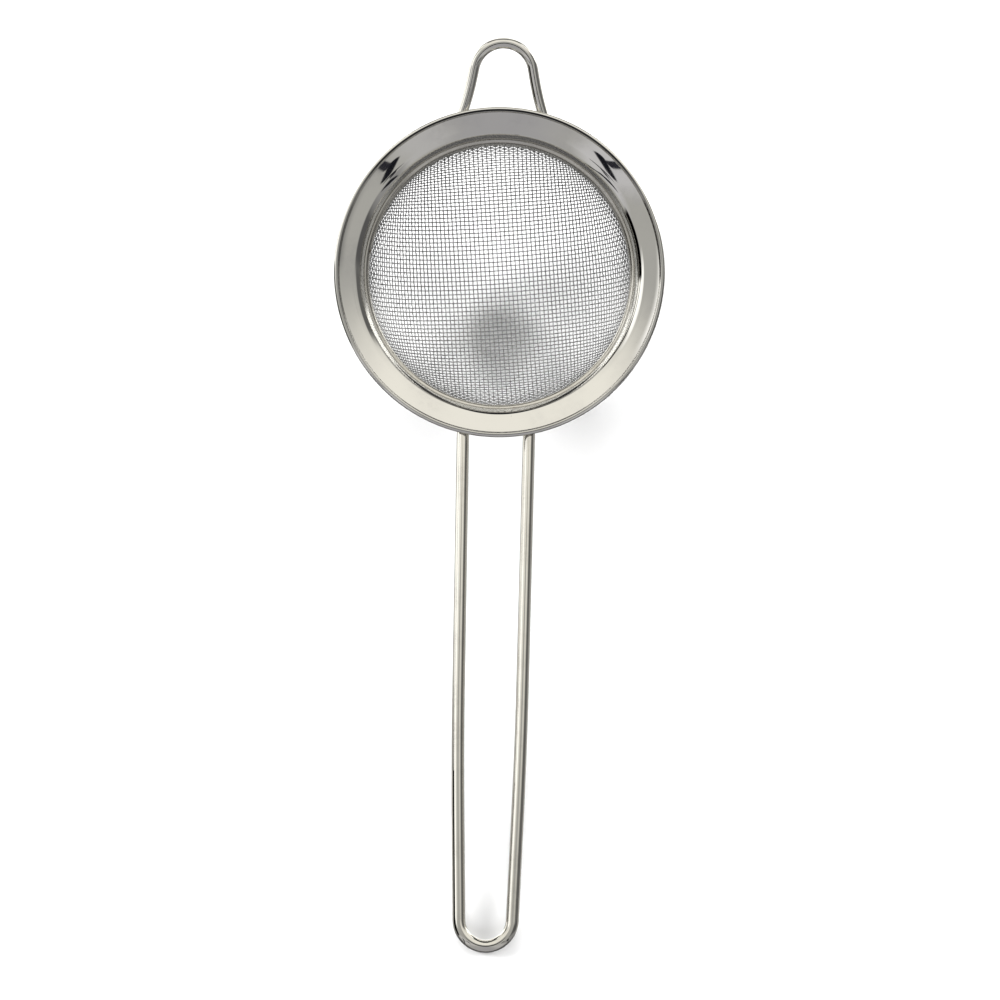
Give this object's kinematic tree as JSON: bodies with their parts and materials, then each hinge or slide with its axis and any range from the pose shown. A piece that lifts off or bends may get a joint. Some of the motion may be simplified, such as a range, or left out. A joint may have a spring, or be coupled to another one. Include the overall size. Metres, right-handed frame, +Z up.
{
  "type": "tea strainer",
  "caption": "Hand-held tea strainer: woven wire bowl clamped in a dished stamped rim, with a long looped wire handle and a small rest loop on the far side.",
  "frame": {"origin": "centre of the rim on the axis of the bowl, level with the top of the rolled bead", "axes": "+Z up out of the bowl along its axis, -Y along the handle, +Y towards the rest loop, +X to the right"},
  "size_m": [0.08, 0.2171, 0.0654],
  "materials": {
    "polished_rim": "polished stainless steel",
    "clamp_ring": "bright rolled stainless steel",
    "wire_cloth": "woven bright stainless wire",
    "handle_wire": "bright drawn stainless wire",
    "loop_wire": "bright drawn stainless wire",
    "weld_metal": "dulled weld metal"
  },
  "bodies": {
    "root": {"rim_flange": "polished_rim", "clamp_ring": "clamp_ring", "mesh_bowl": "wire_cloth", "handle_wire": "handle_wire", "rest_loop": "loop_wire", "handle_welds": "weld_metal", "loop_welds": "weld_metal"}
  },
  "joints": []
}
